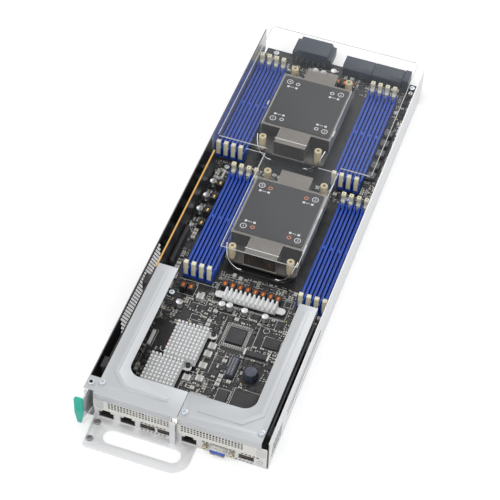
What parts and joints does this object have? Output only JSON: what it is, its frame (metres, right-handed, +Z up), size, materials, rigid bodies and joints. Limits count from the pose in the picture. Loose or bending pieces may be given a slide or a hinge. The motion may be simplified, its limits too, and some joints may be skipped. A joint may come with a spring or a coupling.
{
  "type": "compute node of a multi-node rack server",
  "caption": "Half-width open server node: steel tray with board, two finned processor heatsinks, memory sockets, clear air duct, riser brackets, pull handle and release latch.",
  "frame": {"origin": "centre of the footprint of the tray's walls, on the tray's underside", "axes": "+Y from the I/O end towards the midplane connectors, +Z up out of the open tray, +X to the right seen from the I/O end"},
  "size_m": [0.18, 0.5555, 0.042],
  "materials": {
    "galvanised_steel": "galvanised sheet, fine grain, satin",
    "zinc_screws": "bright zinc plate with a cool tint",
    "circuit_board": "black solder mask over glass laminate",
    "socket_plastic": "moulded blue, slightly glossy",
    "latch_plastic": "moulded ivory",
    "nut_plastic": "moulded tan, smooth",
    "bright_wire": "drawn bright wire",
    "plated_fins": "nickel plated fins, warm grey",
    "white_aluminium": "bare extruded aluminium, matt",
    "copper": "bare copper",
    "chip_lid": "nickel plated lid",
    "black_plastic": "black moulding",
    "port_metal": "plated shell",
    "connector_plastic": "dark slate moulding",
    "can_aluminium": "drawn aluminium can",
    "button_plastic": "satin moulding",
    "pad_plastic": "moulded teal",
    "clear_plastic": "clear vacuum-formed sheet"
  },
  "bodies": {
    "root": {"tray": "galvanised_steel", "io_panel": "galvanised_steel", "motherboard": "circuit_board", "board_screws": "zinc_screws", "left_riser_bracket": "galvanised_steel", "right_riser_bracket": "galvanised_steel", "left_slot_cover": "galvanised_steel", "right_slot_cover": "galvanised_steel", "centre_post": "galvanised_steel", "case_screws": "zinc_screws", "riser_cards": "circuit_board", "riser_slots": "socket_plastic", "pull_handle": "galvanised_steel", "latch_pivot": "zinc_screws", "cpu_bolsters": "galvanised_steel", "processors": "chip_lid", "cpu1_heatsink": "plated_fins", "cpu2_heatsink": "plated_fins", "heat_pipes": "copper", "regulator_heatsink": "white_aluminium", "controller_heatsinks": "white_aluminium", "push_pins": "black_plastic", "network_jacks": "port_metal", "usb_sockets": "port_metal", "video_port": "port_metal", "power_connector": "connector_plastic", "signal_connectors": "connector_plastic", "capacitors": "can_aluminium", "chokes": "black_plastic", "chips": "black_plastic", "board_sockets": "black_plastic", "near_left_memory_sockets": "socket_plastic", "near_right_memory_sockets": "socket_plastic", "far_left_memory_sockets": "socket_plastic", "far_right_memory_sockets": "socket_plastic"},
    "air_duct": {"air_duct": "clear_plastic"},
    "release_latch": {"latch_lever": "galvanised_steel", "latch_pad": "pad_plastic"},
    "power_button": {"power_button": "button_plastic"},
    "near_left_latches_near": {"near_left_latches_near": "latch_plastic"},
    "near_left_latches_far": {"near_left_latches_far": "latch_plastic"},
    "near_right_latches_near": {"near_right_latches_near": "latch_plastic"},
    "near_right_latches_far": {"near_right_latches_far": "latch_plastic"},
    "far_left_latches_near": {"far_left_latches_near": "latch_plastic"},
    "far_left_latches_far": {"far_left_latches_far": "latch_plastic"},
    "far_right_latches_near": {"far_right_latches_near": "latch_plastic"},
    "far_right_latches_far": {"far_right_latches_far": "latch_plastic"},
    "cpu1_nut_near_left": {"cpu1_nut_near_left": "nut_plastic"},
    "cpu1_nut_near_right": {"cpu1_nut_near_right": "nut_plastic"},
    "cpu1_nut_far_left": {"cpu1_nut_far_left": "nut_plastic"},
    "cpu1_nut_far_right": {"cpu1_nut_far_right": "nut_plastic"},
    "cpu1_wires_near": {"cpu1_wires_near": "bright_wire"},
    "cpu1_wires_far": {"cpu1_wires_far": "bright_wire"},
    "cpu2_nut_near_left": {"cpu2_nut_near_left": "nut_plastic"},
    "cpu2_nut_near_right": {"cpu2_nut_near_right": "nut_plastic"},
    "cpu2_nut_far_left": {"cpu2_nut_far_left": "nut_plastic"},
    "cpu2_nut_far_right": {"cpu2_nut_far_right": "nut_plastic"},
    "cpu2_wires_near": {"cpu2_wires_near": "bright_wire"},
    "cpu2_wires_far": {"cpu2_wires_far": "bright_wire"}
  },
  "joints": [
    {"name": "air_duct_lift", "type": "slide", "parent": "root", "child": "air_duct", "axis": [0, 0, 1], "range_m": [0, 0.05]},
    {"name": "release_latch_turn", "type": "hinge", "parent": "root", "child": "release_latch", "pos_m": [-0.0819, -0.2394, 0.019], "axis": [0, 0, 1], "range_deg": [0, 10], "stiffness_Nm_per_rad": 0.3, "springref_deg": -5.73},
    {"name": "power_button_press", "type": "slide", "parent": "root", "child": "power_button", "axis": [0, 1, 0], "range_m": [0, 0.0012], "stiffness_N_per_m": 400, "springref_m": -0.001},
    {"name": "near_left_latches_near_open", "type": "hinge", "parent": "root", "child": "near_left_latches_near", "pos_m": [-0.04508, -0.071, 0.0106], "axis": [1, 0, 0], "range_deg": [0, 25]},
    {"name": "near_left_latches_far_open", "type": "hinge", "parent": "root", "child": "near_left_latches_far", "pos_m": [-0.04508, 0.0633, 0.0106], "axis": [-1, 0, 0], "range_deg": [0, 25]},
    {"name": "near_right_latches_near_open", "type": "hinge", "parent": "root", "child": "near_right_latches_near", "pos_m": [0.07001, -0.071, 0.0106], "axis": [1, 0, 0], "range_deg": [0, 25]},
    {"name": "near_right_latches_far_open", "type": "hinge", "parent": "root", "child": "near_right_latches_far", "pos_m": [0.07001, 0.0633, 0.0106], "axis": [-1, 0, 0], "range_deg": [0, 25]},
    {"name": "far_left_latches_near_open", "type": "hinge", "parent": "root", "child": "far_left_latches_near", "pos_m": [-0.06988, 0.0888, 0.0106], "axis": [1, 0, 0], "range_deg": [0, 25]},
    {"name": "far_left_latches_far_open", "type": "hinge", "parent": "root", "child": "far_left_latches_far", "pos_m": [-0.06988, 0.2231, 0.0106], "axis": [-1, 0, 0], "range_deg": [0, 25]},
    {"name": "far_right_latches_near_open", "type": "hinge", "parent": "root", "child": "far_right_latches_near", "pos_m": [0.05226, 0.0888, 0.0106], "axis": [1, 0, 0], "range_deg": [0, 25]},
    {"name": "far_right_latches_far_open", "type": "hinge", "parent": "root", "child": "far_right_latches_far", "pos_m": [0.05226, 0.2231, 0.0106], "axis": [-1, 0, 0], "range_deg": [0, 25]},
    {"name": "cpu1_nut_near_left_turn", "type": "hinge", "parent": "root", "child": "cpu1_nut_near_left", "pos_m": [-0.02056, -0.0431, 0.026], "axis": [0, 0, 1], "continuous": true},
    {"name": "cpu1_nut_near_right_turn", "type": "hinge", "parent": "root", "child": "cpu1_nut_near_right", "pos_m": [0.03814, -0.0431, 0.026], "axis": [0, 0, 1], "continuous": true},
    {"name": "cpu1_nut_far_left_turn", "type": "hinge", "parent": "root", "child": "cpu1_nut_far_left", "pos_m": [-0.02056, 0.0612, 0.026], "axis": [0, 0, 1], "continuous": true},
    {"name": "cpu1_nut_far_right_turn", "type": "hinge", "parent": "root", "child": "cpu1_nut_far_right", "pos_m": [0.03814, 0.0612, 0.026], "axis": [0, 0, 1], "continuous": true},
    {"name": "cpu1_wires_near_open", "type": "hinge", "parent": "root", "child": "cpu1_wires_near", "pos_m": [0.00879, -0.0507, 0.012], "axis": [1, 0, 0], "range_deg": [0, 30]},
    {"name": "cpu1_wires_far_open", "type": "hinge", "parent": "root", "child": "cpu1_wires_far", "pos_m": [0.00879, 0.0688, 0.012], "axis": [-1, 0, 0], "range_deg": [0, 30]},
    {"name": "cpu2_nut_near_left_turn", "type": "hinge", "parent": "root", "child": "cpu2_nut_near_left", "pos_m": [-0.04061, 0.1043, 0.026], "axis": [0, 0, 1], "continuous": true},
    {"name": "cpu2_nut_near_right_turn", "type": "hinge", "parent": "root", "child": "cpu2_nut_near_right", "pos_m": [0.01809, 0.1043, 0.026], "axis": [0, 0, 1], "continuous": true},
    {"name": "cpu2_nut_far_left_turn", "type": "hinge", "parent": "root", "child": "cpu2_nut_far_left", "pos_m": [-0.04061, 0.2086, 0.026], "axis": [0, 0, 1], "continuous": true},
    {"name": "cpu2_nut_far_right_turn", "type": "hinge", "parent": "root", "child": "cpu2_nut_far_right", "pos_m": [0.01809, 0.2086, 0.026], "axis": [0, 0, 1], "continuous": true},
    {"name": "cpu2_wires_near_open", "type": "hinge", "parent": "root", "child": "cpu2_wires_near", "pos_m": [-0.01126, 0.0967, 0.012], "axis": [1, 0, 0], "range_deg": [0, 30]},
    {"name": "cpu2_wires_far_open", "type": "hinge", "parent": "root", "child": "cpu2_wires_far", "pos_m": [-0.01126, 0.2162, 0.012], "axis": [-1, 0, 0], "range_deg": [0, 30]}
  ]
}
